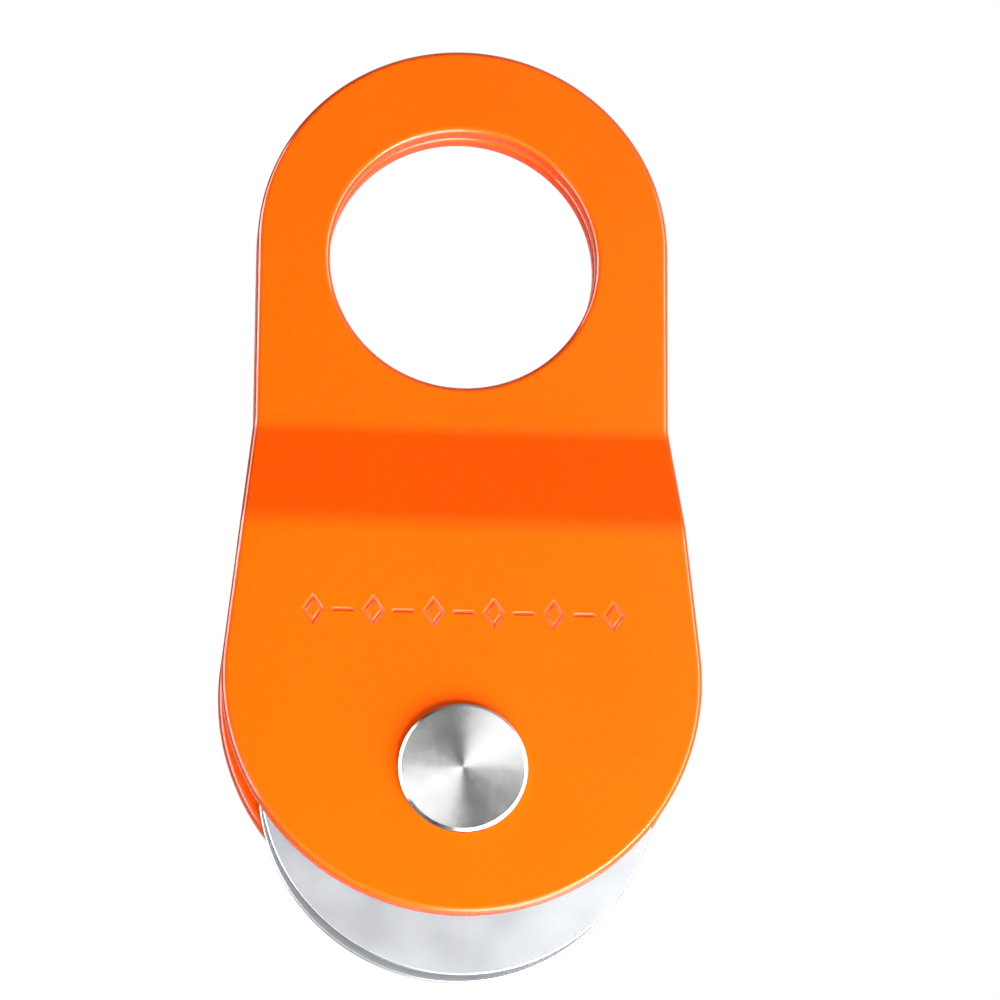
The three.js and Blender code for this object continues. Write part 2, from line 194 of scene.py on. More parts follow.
def turned(profile, steps=128, closed=True):
    """A round piece along the pin. Each point of its profile is (radius, y, corner rounding)."""
    bm = bmesh.new()
    corners = [point(bm, 0, y, PIN_Z + r) for r, y, _ in profile]
    pairs = list(zip(corners, corners[1:]))
    if closed:
        pairs.append((corners[-1], corners[0]))
    for pair in pairs:
        bm.edges.new(pair)
    for corner, (_, _, rounding) in zip(corners, profile):
        if not rounding:
            continue
        bmesh.ops.bevel(
            bm,
            geom=[corner],
            offset=rounding,
            offset_type="OFFSET",
            segments=12 if rounding > 2 * MM else 3,
            profile=0.5,
            affect="VERTICES",
            material=-1,
        )
    bmesh.ops.spin(
        bm,
        geom=bm.verts[:] + bm.edges[:],
        cent=PIN_CENTRE,
        axis=ALONG_PIN,
        angle=TURN,
        steps=steps,
        use_merge=True,
    )
    face_out(bm)
    return bm


def combined(bm, other, operation):
    """bm after a boolean with other. Both are used up."""
    base = link("boolean_base", mesh_of(bm, "boolean_base"))
    tool = link("boolean_tool", mesh_of(other, "boolean_tool"))
    step = base.modifiers.new("step", "BOOLEAN")
    step.object = tool
    step.operation = operation
    step.solver = "EXACT"
    step.use_self = True
    evaluated = base.evaluated_get(bpy.context.evaluated_depsgraph_get())
    made = bmesh.new()
    made.from_mesh(evaluated.to_mesh())
    evaluated.to_mesh_clear()
    for used in (base, tool):
        mesh = used.data
        bpy.data.objects.remove(used)
        bpy.data.meshes.remove(mesh)
    return made


def grow(bm, depth):
    """Extrudes the flat faces drawn so far into a solid, along the pin."""
    grown = bmesh.ops.extrude_face_region(bm, geom=bm.faces[:])
    verts = [g for g in grown["geom"] if isinstance(g, bmesh.types.BMVert)]
    bmesh.ops.translate(bm, verts=verts, vec=(0, depth, 0))
    face_out(bm)


def prism(corners, radius, y_low, y_high, centre=PIN_CENTRE):
    """A prism along the pin with that many equal sides. radius is to its corners."""
    bm = bmesh.new()
    spot = Matrix.Translation((centre.x, y_low, centre.z)) @ Matrix.Rotation(TURN / 4, 4, "X")
    bmesh.ops.create_circle(bm, cap_ends=True, segments=corners, radius=radius, matrix=spot)
    grow(bm, y_high - y_low)
    return bm


def block(size, centre):
    bm = bmesh.new()
    bmesh.ops.create_cube(bm, size=1, matrix=Matrix.LocRotScale(centre, None, size))
    return bm


# ---------------------------------------------------------------- materials

class Value:
    """A socket in a node tree. Arithmetic on it adds Math nodes."""

    def __init__(self, owner, socket):
        self.owner = owner
        self.socket = socket

    def math(self, operation, *inputs):
        return self.owner.node("ShaderNodeMath", {"operation": operation}, enumerate(inputs))

    def __add__(self, other):
        return self.math("ADD", self, other)

    def __sub__(self, other):
        return self.math("SUBTRACT", self, other)

    def __rsub__(self, other):
        return self.math("SUBTRACT", other, self)

    def __mul__(self, other):
        return self.math("MULTIPLY", self, other)

    def __truediv__(self, other):
        return self.math("DIVIDE", self, other)

    __radd__ = __add__
    __rmul__ = __mul__


class Nodes:
    """A node tree under construction."""

    def __init__(self, tree):
        self.tree = tree

    def node(self, kind, settings, inputs, output=0):
        """A node with its settings made, then its inputs set to numbers or linked to Values."""
        made = self.tree.nodes.new(kind)
        for name, value in settings.items():
            setattr(made, name, value)
        for name, value in dict(inputs).items():
            if isinstance(value, Value):
                self.tree.links.new(value.socket, made.inputs[name])
            else:
                made.inputs[name].default_value = value
        return Value(self, made.outputs[output])

    def vector(self, operation, *inputs, output=0):
        settings = {"operation": operation}
        return self.node("ShaderNodeVectorMath", settings, enumerate(inputs), output)

    def spread(self, value, low, high, to_low, to_high):
        """value taken from one range to another, and held inside it."""
        inputs = {1: low, 2: high, 3: to_low, 4: to_high, 0: value}
        return self.node("ShaderNodeMapRange", {"clamp": True}, inputs)

    def mixed(self, factor, first, second):
        """A colour between two, which are Values or colours."""
        pair = [c if isinstance(c, Value) else (*c, 1) for c in (first, second)]
        inputs = {0: factor, 6: pair[0], 7: pair[1]}
        return self.node("ShaderNodeMix", {"data_type": "RGBA"}, inputs, 2)


class Finish(Nodes):
    """A material under construction, with one Principled shader."""

    def __init__(self, name, constants):
        self.material = bpy.data.materials.new(name)
        self.material.use_nodes = True
        super().__init__(self.material.node_tree)
        self.shader = next(n for n in self.tree.nodes if n.type == "BSDF_PRINCIPLED")
        for socket, value in constants.items():
            self.shader.inputs[socket].default_value = value

    def feed(self, values):
        for socket, value in values.items():
            self.tree.links.new(value.socket, self.shader.inputs[socket])

    def place(self, centre=(0, 0, 0)):
        """Object coordinates, measured from a centre."""
        spot = self.node("ShaderNodeTexCoord", {}, {}, "Object")
        return self.vector("SUBTRACT", spot, centre)

    def noise(self, place, scale, detail=2.0, roughness=0.5):
        inputs = {"Vector": place, "Scale": scale, "Detail": detail, "Roughness": roughness}
        return self.node("ShaderNodeTexNoise", {}, inputs, "Fac")

    def bump(self, height, strength, distance):
        inputs = {"Height": height, "Strength": strength, "Distance": distance}
        return self.node("ShaderNodeBump", {}, inputs, "Normal")

    def lathe_marks(self, centre, lean, pitch):
        """A normal that leans in and out from ring to ring about the pin, as on a turned face."""
        away = self.vector("MULTIPLY", self.place(centre), (1, 0, 1))
        radius = self.vector("LENGTH", away, output="Value")
        outward = self.vector("NORMALIZE", away)
        along = {"noise_dimensions": "1D"}
        ring = self.node("ShaderNodeTexWhiteNoise", along, {"W": radius / pitch})
        amount = (ring - 0.5) * (2 * lean)
        settings = {"vector_type": "VECTOR", "convert_from": "OBJECT", "convert_to": "WORLD"}
        outward = self.node("ShaderNodeVectorTransform", settings, {"Vector": outward})
        scaled = {"Vector": outward, "Scale": amount}
        tilt = self.node("ShaderNodeVectorMath", {"operation": "SCALE"}, scaled)
        straight = self.node("ShaderNodeNewGeometry", {}, {}, "Normal")
        return self.vector("NORMALIZE", self.vector("ADD", straight, tilt))


def powder_coat():
    """Orange powder coat with a fine orange peel. It is glossier where it runs over the plate's
    rims, and there its colour is darker and redder: painted shade on the rims."""
    coat = Finish("orange_powder_coat", {"Specular IOR Level": 0.04, "Coat Roughness": 0.13})
    place = coat.place()
    peel = coat.noise(place, 620, 1.0, 0.4)
    swell = coat.noise(place, 210, 1.0, 0.4)
    tone = coat.spread(coat.noise(place, 18), 0.3, 0.7, 0.0, 1.0)
    edge = coat.node("ShaderNodeAttribute", {"attribute_name": "edge"}, {}, "Fac")
    rim_gloss = coat.spread(edge, 0, 0.2, 0.04, 1) * coat.spread(edge, 0.6, 1, 1, 0.1)
    flat_tone = coat.mixed(tone, (1.0, 0.092, 0.0004), (1.0, 0.1, 0.0007))
    coat.feed(
        {
            # Towards the rims the base colour goes darker and redder: painted shade on the rims.
            "Base Color": coat.mixed(edge, flat_tone, (0.5, 0.038, 0.0004)),
            "Roughness": coat.spread(peel, 0.3, 0.7, 0.24, 0.34),
            "Coat Weight": rim_gloss,
            "Normal": coat.bump(peel * 0.6 + swell, 0.55, 0.00015),
        }
    )
    return coat.material


def turned_steel():
    """The pin: bright steel with fine lathe rings."""
    steel = Finish("turned_pin_steel", {"Metallic": 1.0})
    place = steel.place(PIN_CENTRE)
    tone = steel.spread(steel.noise(place, 300, 2.0), 0.3, 0.7, 0.0, 1.0)
    steel.feed(
        {
            "Base Color": steel.mixed(tone, (0.48, 0.48, 0.48), (0.52, 0.52, 0.52)),
            "Roughness": steel.spread(tone, 0, 1, 0.18, 0.22),
            "Normal": steel.lathe_marks(PIN_CENTRE, 0.36, 0.00006),
        }
    )
    return steel.material


def zinc_plate():
    """The sheave: satin zinc plate over fine turning, faintly blue, with painted shade in its rope
    groove.
    """
    zinc = Finish("satin_zinc_plate", {"Metallic": 1.0})
    place = zinc.place(PIN_CENTRE)
    cloud = zinc.spread(zinc.noise(place, 60, 3.0), 0.3, 0.7, 0.0, 1.0)
    along = zinc.node("ShaderNodeSeparateXYZ", {}, {0: place}, "Y")
    along = along.math("ABSOLUTE", along)
    # Between the lips of the rope groove the base colour is much darker: painted shade in the
    # groove.
    groove = zinc.spread(along, RIM_HALF - LIP - 0.2 * MM, RIM_HALF - LIP, 1.0, 0.0)
    plated = zinc.mixed(cloud, (0.575, 0.59, 0.62), (0.635, 0.65, 0.675))
    zinc.feed(
        {
            "Base Color": zinc.mixed(groove, plated, (0.2, 0.21, 0.22)),
            "Roughness": zinc.spread(cloud, 0, 1, 0.34, 0.4),
            "Normal": zinc.lathe_marks(PIN_CENTRE, 0.05, 0.00012),
        }
    )
    return zinc.material


def fitting_zinc():
    """The washer behind the rear cheek and the nipple: bright zinc, slightly yellow."""
    zinc = Finish("bright_zinc_fittings", {"Metallic": 1.0})
    place = zinc.place(PIN_CENTRE)
    cloud = zinc.spread(zinc.noise(place, 260, 3.0), 0.3, 0.7, 0.0, 1.0)
    zinc.feed(
        {
            "Base Color": zinc.mixed(cloud, (0.66, 0.66, 0.6), (0.76, 0.75, 0.68)),
            "Roughness": zinc.spread(cloud, 0, 1, 0.22, 0.36),
        }
    )
    return zinc.material


def bearing_bronze():
    """The bush and the thrust washers: turned bronze with a film of grease."""
    film = {"Metallic": 1.0, "Coat Weight": 0.25, "Coat Roughness": 0.2}
    bronze = Finish("bearing_bronze", film)
    place = bronze.place(PIN_CENTRE)
    stain = bronze.spread(bronze.noise(place, 140, 4.0), 0.35, 0.7, 0.0, 1.0)
    bronze.feed(
        {
            "Base Color": bronze.mixed(stain, (0.62, 0.37, 0.15), (0.42, 0.23, 0.09)),
            "Roughness": bronze.spread(stain, 0, 1, 0.26, 0.42),
            "Normal": bronze.lathe_marks(PIN_CENTRE, 0.08, 0.0001),
        }
    )
    return bronze.material


def spring_steel():
    """The circlip and the nipple's spring: oiled black spring steel."""
    film = {"Metallic": 1.0, "Coat Weight": 0.2, "Coat Roughness": 0.15}
    steel = Finish("oiled_spring_steel", film)
    place = steel.place(PIN_CENTRE)
    rub = steel.spread(steel.noise(place, 500, 3.0), 0.45, 0.75, 0.0, 1.0)
    steel.feed(
        {
            "Base Color": steel.mixed(rub, (0.05, 0.05, 0.055), (0.14, 0.135, 0.13)),
            "Roughness": steel.spread(rub, 0, 1, 0.34, 0.5),
        }
    )
    return steel.material


def polished_steel():
    """The check ball: polished, with the faintest mottle."""
    steel = Finish("polished_ball_steel", {"Metallic": 1.0})
    mottle = steel.spread(steel.noise(steel.place(), 900, 2.0), 0.3, 0.7, 0.0, 1.0)
    steel.feed(
        {
            "Base Color": steel.mixed(mottle, (0.8, 0.8, 0.82), (0.86, 0.86, 0.88)),
            "Roughness": steel.spread(mottle, 0, 1, 0.08, 0.14),
        }
    )
    return steel.material


# ---------------------------------------------------------------- pieces


def finish_piece(bm, name, node, material):
    """Makes bm the piece that stands for a CAD node, riding on that node's body."""
    mesh = mesh_of(bm, name)
    mesh.materials.append(material)
    mesh.polygons.foreach_set("use_smooth", [True] * len(mesh.polygons))
    mesh.set_sharp_from_angle(angle=SHARP)
    piece = link(name, mesh)
    weighted = piece.modifiers.new("flat_faces_stay_flat", "WEIGHTED_NORMAL")
    weighted.keep_sharp = True
    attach(piece, frame["nodes"][node]["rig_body"])
    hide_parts(node)
    return piece


def draw_plain_hole(bm, start):
    """The right half of the front cheek's round pin hole, from its bottom to its top."""
    return arc(bm, start, PIN_Z, -TURN / 2, PIN_HOLE_STEPS)


def draw_flats_hole(bm, start):
    """The right half of the rear cheek's pin hole with two flats, from its bottom to its top."""
    flat_x = SPIGOT_R + SEAT_GAP
    corner = math.asin(flat_x / FLATS_HOLE_R)
    end = arc(bm, start, PIN_Z, -corner, PIN_HOLE_STEPS // 2)
    end = line(bm, end, flat_x, PIN_Z + FLATS_HOLE_R * math.cos(corner))
    return arc(bm, end, PIN_Z, -corner, PIN_HOLE_STEPS // 2)


def cheek_blank(draw_hole, hole_r):
    """The flat plate before it is bent, centred on y = 0: drawn as a right half and mirrored."""
    bm = bmesh.new()
    shoulder = JOGGLE_TOP - LOWER_Z
    reach = math.hypot(EYE_OUTER_R, shoulder)
    tangent = math.atan2(shoulder, EYE_OUTER_R) - math.acos(LOWER_R / reach)
    end = point(bm, 0, 0, EYE_HOLE_R)
    end = line(bm, end, 0, REAR_HIGH.z)
    end = arc(bm, end, EYE_Z, TURN / 4, EYE_ARC_STEPS)
    end = line(bm, end, EYE_OUTER_R, JOGGLE_TOP)
    end = line(bm, end, LOWER_R * math.cos(tangent), LOWER_Z + LOWER_R * math.sin(tangent))
    end = arc(bm, end, LOWER_Z, TURN / 4 + tangent, LOWER_ARC_STEPS)
    end = line(bm, end, 0, PIN_Z - hole_r)
    end = draw_hole(bm, end)
    end = line(bm, end, 0, -EYE_HOLE_R)
    arc(bm, end, 0, -TURN / 2, EYE_HOLE_STEPS)
    bmesh.ops.remove_doubles(bm, verts=bm.verts, dist=WELD)
    bmesh.ops.contextual_create(bm, geom=bm.edges[:])
    bmesh.ops.mirror(bm, geom=bm.verts[:] + bm.edges[:] + bm.faces[:], merge_dist=1e-6, axis="X")
    bmesh.ops.translate(bm, verts=bm.verts, vec=(0, -PLATE / 2, 0))
    grow(bm, PLATE)
    return bm


def round_plate_edges(bm, hole_r):
    """Rounds the plate's rims: a little at the pin hole, more at the outline and the eye."""
    at_pin = []
    elsewhere = []
    for edge in sharp_edges(bm, SQUARE):
        middle = (edge.verts[0].co + edge.verts[1].co) / 2
        near = math.hypot(middle.x, middle.z - PIN_Z) < hole_r + MM
        (at_pin if near else elsewhere).append(edge)
    round_edges(bm, elsewhere, EDGE_ROUND, 5)
    at_pin = [e for e in at_pin if e.is_valid]
    round_edges(bm, at_pin, PIN_HOLE_ROUND, 2)


def joggle_heights():
    """The heights of the joggle: its top, where the ramp starts and ends, and its foot."""
    shift = LOWER_Y - EYE_Y
    ramp = shift - 2 * BEND_R * (1 - math.cos(JOGGLE_ANGLE))
    drop = BEND_R * math.sin(JOGGLE_ANGLE)
    ramp_top = JOGGLE_TOP - drop
    ramp_foot = ramp_top - ramp / math.tan(JOGGLE_ANGLE)
    return ramp_top, ramp_foot, ramp_foot - drop


def bend_plate(bm, side):
    """Bends the flat plate twice, so that below the joggle it stands further out. side is -1 for
    the front cheek and 1 for the rear one. The attribute "edge" is 0 on the plate's two faces and
    1 on its rims."""
    ramp_top, ramp_foot, foot = joggle_heights()
    for cut in range(BEND_CUTS + 1):
        drop = BEND_R * math.sin(JOGGLE_ANGLE * cut / BEND_CUTS)
        for height in (JOGGLE_TOP - drop, foot + drop):
            geom = bm.verts[:] + bm.edges[:] + bm.faces[:]
            bmesh.ops.bisect_plane(
                bm, geom=geom, dist=WELD, plane_co=(0, 0, height), plane_no=(0, 0, 1)
            )
    rise = BEND_R * (1 - math.cos(JOGGLE_ANGLE))
    edge = bm.verts.layers.float.new("edge")
    for vert in bm.verts:
        z = vert.co.z
        if z >= JOGGLE_TOP:
            lean, middle = 0.0, EYE_Y
        elif z > ramp_top:
            lean = math.asin((JOGGLE_TOP - z) / BEND_R)
            middle = EYE_Y + BEND_R * (1 - math.cos(lean))
        elif z > ramp_foot:
            lean = JOGGLE_ANGLE
            middle = EYE_Y + rise + (ramp_top - z) * math.tan(JOGGLE_ANGLE)
        elif z > foot:
            lean = math.asin((z - foot) / BEND_R)
            middle = LOWER_Y - BEND_R * (1 - math.cos(lean))
        else:
            lean, middle = 0.0, LOWER_Y
        vert[edge] = min(1, (PLATE / 2 - abs(vert.co.y)) / EDGE_ROUND)
        out = side * vert.co.y
        vert.co.y = side * (middle + out * math.cos(lean))
        vert.co.z = z + out * math.sin(lean)


def add_stroke(bm, x0, z0, x1, z1):
    """A round-ended stroke of the stamp, sunk into the blank's front face."""
    along = Vector((x1 - x0, 0, z1 - z0))
    made = bmesh.ops.create_uvsphere(bm, u_segments=12, v_segments=7, radius=STAMP_R)["verts"]
    for vert in made:
        vert.co.z += math.copysign(along.length / 2, vert.co.z)
    turn = along.to_track_quat("Z", "Y").to_matrix().to_4x4()
    y = -PLATE / 2 - (STAMP_R - STAMP_DEPTH)
    spot = Matrix.Translation(((x0 + x1) / 2, y, (z0 + z1) / 2))
    bmesh.ops.transform(bm, matrix=spot @ turn, verts=made)


def stamp_row():
    """Lozenges with dashes between them."""
    bm = bmesh.new()
    reach_x = STAMP_WIDTH / 2 - STAMP_R
    reach_z = STAMP_HEIGHT / 2 - STAMP_R
    for mark in range(STAMP_MARKS):
        x = (mark - (STAMP_MARKS - 1) / 2) * STAMP_PITCH
        if mark % 2:
            add_stroke(bm, x - reach_x, STAMP_Z, x + reach_x, STAMP_Z)
            continue
        for toward_x in (-1, 1):
            for toward_z in (-1, 1):
                top = STAMP_Z + toward_z * reach_z
                add_stroke(bm, x + toward_x * reach_x, STAMP_Z, x, top)
    return bm


def make_cheeks(paint):
    """Both cheeks. The front one isn't seen in reflections, so it leaves the sheave grey."""
    front = cheek_blank(draw_plain_hole, PLAIN_HOLE_R)
    round_plate_edges(front, PLAIN_HOLE_R)
    front = combined(front, stamp_row(), "DIFFERENCE")
    bend_plate(front, -1)
    plate = finish_piece(front, "front_cheek_plate", "front_cheek", paint)
    plate.visible_glossy = False
    rear = cheek_blank(draw_flats_hole, FLATS_HOLE_R)
    round_plate_edges(rear, FLATS_HOLE_R)
    bend_plate(rear, 1)
    finish_piece(rear, "rear_cheek_plate", "rear_cheek", paint)


def make_pin(steel):
    """The pin's head, shank, flats, clip groove and grease drillings."""
    head_back = FRONT_LOW.y - AXIAL_GAP
    chamfer = 0.7 * MM
    head_r = PIN_HIGH.x
    groove_low = CLIP_LOW.y - 0.15 * MM
    groove_high = groove_low + 1.3 * MM
    groove_r = SPIGOT_R - 0.4 * MM
    end_chamfer = 0.6 * MM
    thread_r = 3.1 * MM
    thread_y = PIN_HIGH.y - 5.8 * MM
    drill_r = 2.5 * MM
    cross_r = 2 * MM
    bm = turned(
        [
            (0, PIN_LOW.y, 0),
            (head_r - chamfer, PIN_LOW.y, 0.1 * MM),
            (head_r, PIN_LOW.y + chamfer, 0.1 * MM),
            (head_r, head_back, 0.1 * MM),
            (PIN_R, head_back, 0),
            (PIN_R, REAR_HIGH.y, 0.2 * MM),
            (SPIGOT_R, REAR_HIGH.y, 0),
            (SPIGOT_R, groove_low, 0.05 * MM),
            (groove_r, groove_low, 0),
            (groove_r, groove_high, 0),
            (SPIGOT_R, groove_high, 0.05 * MM),
            (SPIGOT_R, PIN_HIGH.y - end_chamfer, 0.1 * MM),
            (SPIGOT_R - end_chamfer, PIN_HIGH.y, 0.1 * MM),
            (thread_r, PIN_HIGH.y, 0.15 * MM),
            (thread_r, thread_y, 0),
            (drill_r, thread_y, 0),
            (drill_r, -cross_r, 0),
            (0, -cross_r - drill_r / 2, 0),
        ],
        closed=False,
    )
    flats_low = REAR_HIGH.y - PLATE - AXIAL_GAP
    for side in (-1, 1):
        size = Vector((PIN_R, REAR_HIGH.y - flats_low, 3 * PIN_R))
        centre = Vector((side * (SPIGOT_R + PIN_R / 2), (flats_low + REAR_HIGH.y) / 2, PIN_Z))
        bm = combined(bm, block(size, centre), "DIFFERENCE")
    drill = bmesh.new()
    bmesh.ops.create_cone(
        drill,
        cap_ends=True,
        segments=32,
        radius1=cross_r,
        radius2=cross_r,
        depth=3 * PIN_R,
        matrix=Matrix.Translation(PIN_CENTRE),
    )
    bm = combined(bm, drill, "DIFFERENCE")
    finish_piece(bm, "turned_centre_pin", "centre_pin", steel)


def make_sheave(zinc, bronze):
    """The sheave, with a hub and a rope groove, and the bush pressed into it."""
    bore_r = BUSH_HIGH.x + SEAT_GAP
    rim_r = SHEAVE_HIGH.x
    root_r = rim_r - GROOVE_DEPTH
    hub_y = SHEAVE_HIGH.y
    mouth = RIM_HALF - LIP
    half = [
        (bore_r, hub_y, 0.3 * MM),
        (HUB_R, hub_y, 0.6 * MM),
        (HUB_R, RIM_HALF, 0.8 * MM),
        (rim_r, RIM_HALF, 0.45 * MM),
        (rim_r, mouth, 0.35 * MM),
        (root_r, GROOVE_HALF, GROOVE_ROUND),
    ]
    other_half = [(r, -y, rounding) for r, y, rounding in reversed(half)]
    finish_piece(turned(half + other_half, steps=192), "grooved_sheave", "sheave", zinc)
    bush_r = PIN_R + RUN_GAP
    groove_y = 2 * MM
    groove_r = bush_r + 0.8 * MM
    bush = turned(
        [
            (bush_r, -hub_y, 0.3 * MM),
            (BUSH_HIGH.x, -hub_y, 0.3 * MM),
            (BUSH_HIGH.x, hub_y, 0.3 * MM),
            (bush_r, hub_y, 0.3 * MM),
            (bush_r, groove_y, 0.1 * MM),
            (groove_r, groove_y, 0.3 * MM),
            (groove_r, -groove_y, 0.3 * MM),
            (bush_r, -groove_y, 0.1 * MM),
        ]
    )
    finish_piece(bush, "pressed_bush", "sheave_bush", bronze)


def make_washer(name, node, inner_r, rounding, material):
    """A flat ring as large as its node, with rounded edges."""
    low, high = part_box(node)
    washer = turned(
        [
            (inner_r, low.y, rounding),
            (high.x, low.y, rounding),
            (high.x, high.y, rounding),
            (inner_r, high.y, rounding),
        ]
    )
    finish_piece(washer, name, node, material)


def make_circlip(black):
    """An open ring with two drilled lugs beside its opening, which faces down."""
    inner_r = SPIGOT_R - 0.3 * MM
    band = 2 * MM
    lug_r = 1.8 * MM
    hole_r = 0.8 * MM
    opening = math.radians(44)
    outer_r = inner_r + band
    low, high = CLIP_LOW.y, CLIP_HIGH.y
    bm = bmesh.new()
    corners = ((inner_r, low), (outer_r, low), (outer_r, high), (inner_r, high))
    section = [point(bm, 0, y, PIN_Z - r) for r, y in corners]
    face = bm.faces.new(section)
    bmesh.ops.rotate(
        bm, verts=section, cent=PIN_CENTRE, matrix=Matrix.Rotation(opening / 2, 3, ALONG_PIN)
    )
    bmesh.ops.spin(
        bm,
        geom=[face],
        cent=PIN_CENTRE,
        axis=ALONG_PIN,
        angle=TURN - opening,
        steps=96,
    )
    face_out(bm)
    lug_centre_r = inner_r + lug_r
    for side in (-1, 1):
        angle = -TURN / 4 + side * opening / 2
        spot = Vector((lug_centre_r * math.cos(angle), 0, PIN_Z + lug_centre_r * math.sin(angle)))
        bm = combined(bm, prism(32, lug_r, low, high, spot), "UNION")
        bm = combined(bm, prism(24, hole_r, low - MM, high + MM, spot), "DIFFERENCE")
    round_edges(bm, sharp_edges(bm, SQUARE), 0.12 * MM, 2)
    finish_piece(bm, "retaining_circlip", "circlip", black)


def make_nipple(zinc):
    """The grease nipple's body: chamfered hexagon, neck, ball-ended head and through bore."""
    seat = PIN_HIGH.y + AXIAL_GAP
    foot = NIPPLE_LOW.y
    tip = NIPPLE_HIGH.y
    hex_top = seat + 3 * MM
    head_y = hex_top + 1.4 * MM
    thread_r = 3 * MM
    bore_r = 1.6 * MM
    neck_r = 2.3 * MM
    head_r = 3.2 * MM
    tip_r = 1.9 * MM
    mouth_r = 0.9 * MM
    lip = 0.8 * MM
    rim = head_r - neck_r
    stem = turned(
        [
            (mouth_r, foot, 0.1 * MM),
            (thread_r, foot, 0.4 * MM),
            (thread_r, seat + MM, 0),
            (neck_r, seat + MM, 0),
            (neck_r, head_y, 0.3 * MM),
            (head_r, head_y + rim, 0.3 * MM),
            (head_r, head_y + 2 * rim, 0.4 * MM),
            (tip_r, tip, 0.3 * MM),
            (mouth_r, tip, 0.15 * MM),
            (mouth_r, tip - lip, 0),
            (bore_r, tip - lip, 0),
            (bore_r, foot + lip, 0),
            (mouth_r, foot + lip, 0),
        ],
        steps=48,
    )
    corner_r = (NIPPLE_HIGH.x - NIPPLE_LOW.x) / 2
    chamfer = 0.5 * MM
    middle_r = (bore_r + neck_r) / 2
    limit = turned(
        [
            (middle_r, seat, 0),
            (corner_r - chamfer, seat, 0),
            (corner_r, seat + chamfer / 2, 0),
            (corner_r, hex_top - chamfer / 2, 0),
            (corner_r - chamfer, hex_top, 0),
            (middle_r, hex_top, 0),
        ],
        steps=48,
    )
    hexagon = combined(prism(6, corner_r, seat - MM, hex_top + MM), limit, "INTERSECT")
    finish_piece(combined(stem, hexagon, "UNION"), "grease_nipple", "nipple_body", zinc)


def make_check_valve(polished, black):
    """The nipple's ball and the coil spring behind it, both inside its bore."""
    ball = bmesh.new()
    ball_y = (BALL_LOW.y + BALL_HIGH.y) / 2
    bmesh.ops.create_uvsphere(
        ball,
        u_segments=32,
        v_segments=16,
        radius=BALL_HIGH.y - ball_y,
        matrix=Matrix.Translation((0, ball_y, PIN_Z)),
    )
    finish_piece(ball, "check_ball_polished", "nipple_ball", polished)
    wire_r = 0.18 * MM
    turns = 6
    steps = 32 * turns
    clear = 1.4 * wire_r  # the ball's round back reaches a little into the coil
    rise = SPRING_HIGH.y - SPRING_LOW.y - 2 * wire_r - clear
    coil = bmesh.new()
    start = Matrix.Translation((0, SPRING_LOW.y + wire_r, PIN_Z + SPRING_HIGH.x - wire_r))
    lying = start @ Matrix.Rotation(TURN / 4, 4, "Y")
    bmesh.ops.create_circle(coil, cap_ends=True, segments=10, radius=wire_r, matrix=lying)
    bmesh.ops.spin(
        coil,
        geom=coil.verts[:] + coil.edges[:] + coil.faces[:],
        cent=PIN_CENTRE,
        axis=ALONG_PIN,
        dvec=(0, rise / steps, 0),
        angle=TURN * turns,
        steps=steps,
    )
    face_out(coil)
    finish_piece(coil, "check_spring", "nipple_spring", black)


# ---------------------------------------------------------------- studio

BLOCK_MIDDLE = Vector((0, 0, -0.08))
FLOOR_Z = -1.1
FLOOR_HALF = 6
LENS_MM = 176.08
SENSOR_MM = 36
VIEW_AIM = PIN_CENTRE + Vector((9.86, 0, 70.29)) * MM
VIEW_AZIMUTH = math.radians(4.813)
VIEW_ELEVATION = math.radians(14.725)
VIEW_DISTANCE = 1191.2 * MM
VIEW_ROLL = 0.006

# Name, what it lights, place, width, height and power, in metres and watts
LAMPS = (
    ("low_key", "body", (0.36, -0.44, -0.75), 0.85, 0.7, 31),
    ("rear_key", "body", (-0.35, 0.9, 0.3), 0.7, 0.7, 17),
    ("right_strip", "gloss", (0.62, -0.32, -0.05), 0.28, 0.9, 9.5),
    ("lower_right", "gloss", (0.52, -0.5, -0.55), 0.4, 0.35, 9.5),
    ("upper_right", "gloss", (0.5, -0.75, 0.42), 0.85, 0.75, 4.6),
    ("lower_left", "gloss", (-0.35, -0.72, -0.4), 0.75, 0.6, 2.6),
    ("under_panel", "gloss", (0.3, -0.22, -0.9), 0.8, 0.5, 13),
    ("left_panel", "gloss", (-0.4, -0.06, -0.05), 0.24, 0.5, 3.5),
    ("upper_left", "gloss", (-0.72, -0.1, 0.42), 0.3, 0.5, 5),
    ("front_panel", "gloss", (0.3, -0.7, 0.05), 0.35, 0.35, 0.75),
)


def soft_box(name, lights, place, width, height, power):
    """A rectangular lamp that faces the block. lights is "body" for one that gives body colour
    only, or "gloss" for one that gives highlights only."""
    lamp = bpy.data.lights.new(name, "AREA")
    lamp.shape = "RECTANGLE"
    lamp.size = width
    lamp.size_y = height
    lamp.energy = power
    light = bpy.data.objects.new(name, lamp)
    light.location = place
    light.rotation_euler = (BLOCK_MIDDLE - Vector(place)).to_track_quat("-Z", "Y").to_euler()
    light.visible_camera = False
    light.visible_glossy = lights == "gloss"
    light.visible_diffuse = lights == "body"
    bpy.context.scene.collection.objects.link(light)


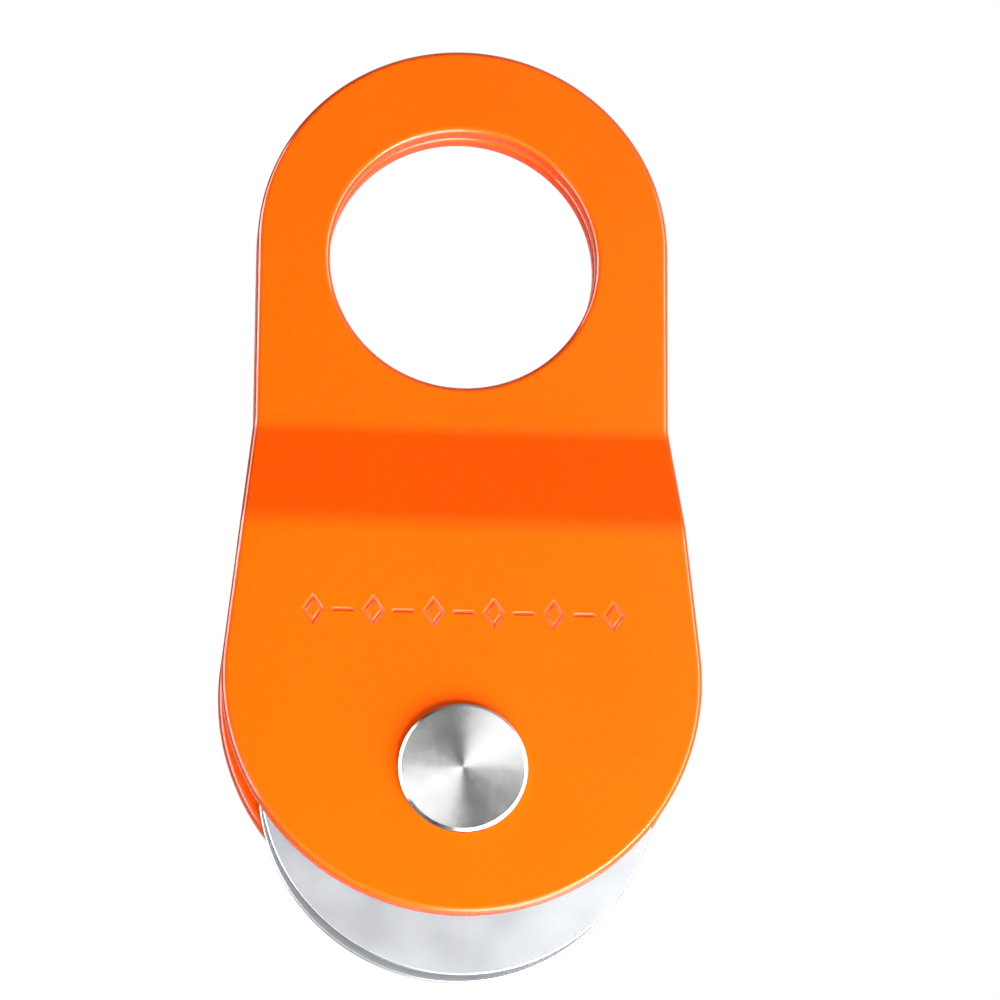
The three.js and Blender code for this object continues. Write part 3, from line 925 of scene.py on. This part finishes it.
def make_world():
    """A white surround to the eye. As light it is dimmer and comes more from below; in
    reflections it is bright behind the block and dim in front of it."""
    world = bpy.data.worlds.new("white_studio")
    bpy.context.scene.world = world
    world.use_nodes = True
    studio = Nodes(world.node_tree)
    toward = studio.node("ShaderNodeTexCoord", {}, {}, "Generated")
    height = studio.node("ShaderNodeSeparateXYZ", {}, {0: toward}, "Z")
    behind = studio.node("ShaderNodeSeparateXYZ", {}, {0: toward}, "Y")
    aside = studio.node("ShaderNodeSeparateXYZ", {}, {0: toward}, "X")
    body = studio.spread(height, -0.6, 0.9, 0.5, 0.2)
    body = body + studio.spread(behind, 0.0, 0.4, 0.0, 0.6)
    gloss = studio.spread(behind, -0.4, 0.5, 0.27, 1.0)
    gloss = gloss * studio.spread(aside.math("ABSOLUTE", aside - 0.2), 0.35, 0.6, 1.0, 0.08)
    seen = studio.node("ShaderNodeLightPath", {}, {}, "Is Camera Ray")
    shiny = studio.node("ShaderNodeLightPath", {}, {}, "Is Glossy Ray")
    level = body + shiny * (gloss - body)
    level = level + seen * (1 - level)
    surround = studio.tree.nodes["Background"]
    surround.inputs["Color"].default_value = (1, 1, 1, 1)
    studio.tree.links.new(level.socket, surround.inputs["Strength"])


def make_floor():
    """A pale floor, well below the hanging block."""
    bm = bmesh.new()
    spot = Matrix.Translation((0, 0, FLOOR_Z))
    bmesh.ops.create_grid(bm, x_segments=1, y_segments=1, size=FLOOR_HALF, matrix=spot)
    floor = link("studio_floor", mesh_of(bm, "studio_floor"))
    pale = Finish("pale_floor", {"Roughness": 0.7, "Emission Strength": 0.4})
    speck = pale.noise(pale.place(), 3, 2.0)
    pale.feed({"Base Color": pale.mixed(speck, (0.84, 0.84, 0.84), (0.87, 0.87, 0.87))})
    floor.data.materials.append(pale.material)
    floor.visible_glossy = False


def make_camera():
    """A long lens in front of the block, a little below it and to its left, looking up."""
    lens = bpy.data.cameras.new("camera")
    lens.sensor_width = SENSOR_MM
    lens.lens = LENS_MM
    camera = bpy.data.objects.new("camera", lens)
    ahead = Vector((math.sin(VIEW_AZIMUTH), math.cos(VIEW_AZIMUTH), math.tan(VIEW_ELEVATION)))
    ahead.normalize()
    level = ahead.to_track_quat("-Z", "Y").to_matrix().to_4x4()
    spot = Matrix.Translation(VIEW_AIM - ahead * VIEW_DISTANCE)
    camera.matrix_world = spot @ level @ Matrix.Rotation(VIEW_ROLL, 4, "Z")
    lens.clip_start = 0.01
    bpy.context.scene.collection.objects.link(camera)
    bpy.context.scene.camera = camera


def make_studio():
    bpy.context.scene.view_settings.view_transform = "Standard"
    make_world()
    make_floor()
    make_camera()
    for lamp in LAMPS:
        soft_box(*lamp)


make_studio()
BRONZE = bearing_bronze()
FITTING_ZINC = fitting_zinc()
BLACK = spring_steel()
make_cheeks(powder_coat())
make_pin(turned_steel())
make_sheave(zinc_plate(), BRONZE)
make_washer("front_thrust_ring", "front_thrust_washer", PLAIN_HOLE_R, 0.15 * MM, BRONZE)
make_washer("rear_thrust_ring", "rear_thrust_washer", PLAIN_HOLE_R, 0.15 * MM, BRONZE)
make_washer("rear_end_washer", "end_washer", SPIGOT_R + RUN_GAP, 0.3 * MM, FITTING_ZINC)
make_circlip(BLACK)
make_nipple(FITTING_ZINC)
make_check_valve(polished_steel(), BLACK)
